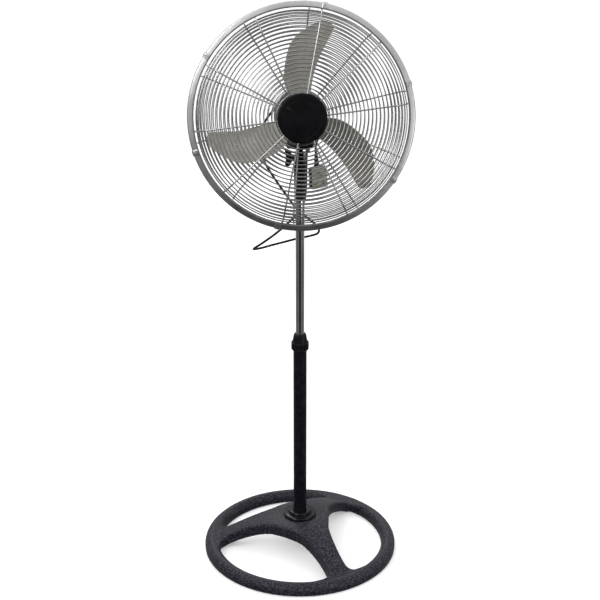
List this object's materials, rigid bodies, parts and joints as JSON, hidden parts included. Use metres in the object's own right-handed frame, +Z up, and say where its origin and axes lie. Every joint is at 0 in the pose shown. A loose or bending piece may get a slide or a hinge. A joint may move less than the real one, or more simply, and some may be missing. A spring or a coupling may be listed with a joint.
{
  "type": "pedestal fan",
  "caption": "Pedestal fan with a cast ring base on arms, a telescopic pole, a tilting and oscillating head, a chromed wire cage and swept metal blades.",
  "frame": {"origin": "centre of the base's footprint on the floor, on the pole's axis", "axes": "+Z up along the pole, -Y the way the fan blows, +X to the viewer's right when facing the fan"},
  "size_m": [0.521, 0.505, 1.4508],
  "materials": {
    "cast_base": "speckled charcoal powder coat",
    "pad_rubber": "matte",
    "zinc": "zinc plated",
    "flange_black": "gloss black",
    "tube_black": "satin black",
    "nylon": "moulded",
    "collar_black": "satin moulded",
    "tube_chrome": "polished",
    "neck_black": "satin black",
    "plated_bracket": "zinc plated",
    "bronze": "sintered",
    "motor_black": "satin black",
    "lamination": "stacked sheet",
    "copper": "enamelled wire",
    "gear_plastic": "acetal",
    "frame_metal": "die cast",
    "capacitor_case": "moulded",
    "blade_alloy": "satin",
    "hub_alloy": "satin",
    "guard_chrome": "plated wire",
    "band_chrome": "plated strip",
    "cap_black": "moulded",
    "cord_black": "matte",
    "pin_metal": "nickel plated",
    "card": "grey board"
  },
  "bodies": {
    "root": {"base_casting": "cast_base", "foot_pads": "pad_rubber", "base_stud": "zinc", "base_washer": "zinc", "base_nut": "zinc", "pole_flange": "flange_black", "lower_tube": "tube_black", "guide_bush": "nylon"},
    "collar": {"height_collar": "collar_black"},
    "mast": {"upper_tube": "tube_chrome", "tube_guide": "nylon", "neck_casting": "neck_black", "neck_screw": "zinc", "tilt_bolt": "zinc", "tilt_washers": "zinc"},
    "tilt_knob": {"tilt_knob": "collar_black"},
    "bracket": {"tilt_bracket": "plated_bracket", "pivot_pin": "neck_black", "pivot_clip": "zinc", "link_pin": "zinc"},
    "link_rod": {"link_rod": "zinc"},
    "head": {"pivot_housing": "motor_black", "pivot_bush": "bronze", "motor_front_shell": "motor_black", "motor_rear_shell": "motor_black", "stator_core": "lamination", "stator_windings": "copper", "motor_bearings": "bronze", "motor_screws": "zinc", "gear_frame": "frame_metal", "gearbox_cover": "motor_black", "capacitor": "capacitor_case", "speed_switch": "capacitor_case", "rear_guard_plate": "guard_chrome", "guard_nut": "nylon", "rear_guard_spokes": "guard_chrome", "rear_guard_rings": "guard_chrome", "trim_band": "band_chrome", "guard_clips": "band_chrome", "front_guard_spokes": "guard_chrome", "front_guard_rings": "guard_chrome", "front_hub_plate": "guard_chrome", "front_cap": "cap_black", "cord_gland": "cord_black", "mains_cord": "cord_black", "plug_body": "cord_black", "plug_pins": "pin_metal", "pin_card": "card"},
    "rotor": {"motor_shaft": "zinc", "rotor_core": "lamination", "blade_hub": "hub_alloy", "blades": "blade_alloy", "blade_rivets": "hub_alloy", "blade_nut": "zinc"},
    "worm_wheel": {"worm_wheel": "gear_plastic"},
    "crank": {"crank_gear": "gear_plastic"},
    "clutch_knob": {"clutch_knob": "collar_black"},
    "speed_knob": {"speed_knob": "collar_black"}
  },
  "joints": [
    {"name": "collar_turn", "type": "hinge", "parent": "root", "child": "collar", "pos_m": [0, 0, 0.59], "axis": [0, 0, 1], "range_deg": [0, 180]},
    {"name": "height_slide", "type": "slide", "parent": "root", "child": "mast", "axis": [0, 0, 1], "range_m": [-0.33, 0.08]},
    {"name": "tilt_knob_turn", "type": "hinge", "parent": "mast", "child": "tilt_knob", "pos_m": [-0.025, 0, 1.068], "axis": [1, 0, 0], "range_deg": [0, 180]},
    {"name": "head_tilt", "type": "hinge", "parent": "mast", "child": "bracket", "pos_m": [0, 0, 1.068], "axis": [1, 0, 0], "range_deg": [-13, 27]},
    {"name": "head_swing", "type": "hinge", "parent": "bracket", "child": "head", "pos_m": [0, 0, 1.068], "axis": [0, 0.2079, 0.9781], "range_deg": [-40, 40]},
    {"name": "link_swing", "type": "hinge", "parent": "bracket", "child": "link_rod", "pos_m": [0.02, 0.00374, 1.08561], "axis": [0, 0.2079, 0.9781], "range_deg": [-36, 36]},
    {"name": "blade_spin", "type": "hinge", "parent": "head", "child": "rotor", "pos_m": [0, 0.021, 1.16679], "axis": [0, -0.9781, 0.2079], "continuous": true},
    {"name": "worm_wheel_spin", "type": "hinge", "parent": "head", "child": "worm_wheel", "pos_m": [-0.0192, 0.06991, 1.1564], "axis": [0, 0.2079, 0.9781], "continuous": true},
    {"name": "crank_spin", "type": "hinge", "parent": "head", "child": "crank", "pos_m": [0, 0.06991, 1.1564], "axis": [0, 0.2079, 0.9781], "continuous": true},
    {"name": "clutch_pull", "type": "slide", "parent": "head", "child": "clutch_knob", "axis": [0, 0.2079, 0.9781], "range_m": [0, 0.008]},
    {"name": "speed_turn", "type": "hinge", "parent": "head", "child": "speed_knob", "pos_m": [0, 0.11881, 1.146], "axis": [0, -0.9781, 0.2079], "range_deg": [-135, 0]}
  ],
  "couplings": [
    {"joint": "worm_wheel_spin", "follows": "blade_spin", "ratio": 0.04167},
    {"joint": "crank_spin", "follows": "blade_spin", "ratio": -0.01515},
    {"joint": "link_swing", "follows": "head_swing", "ratio": 0.85}
  ]
}
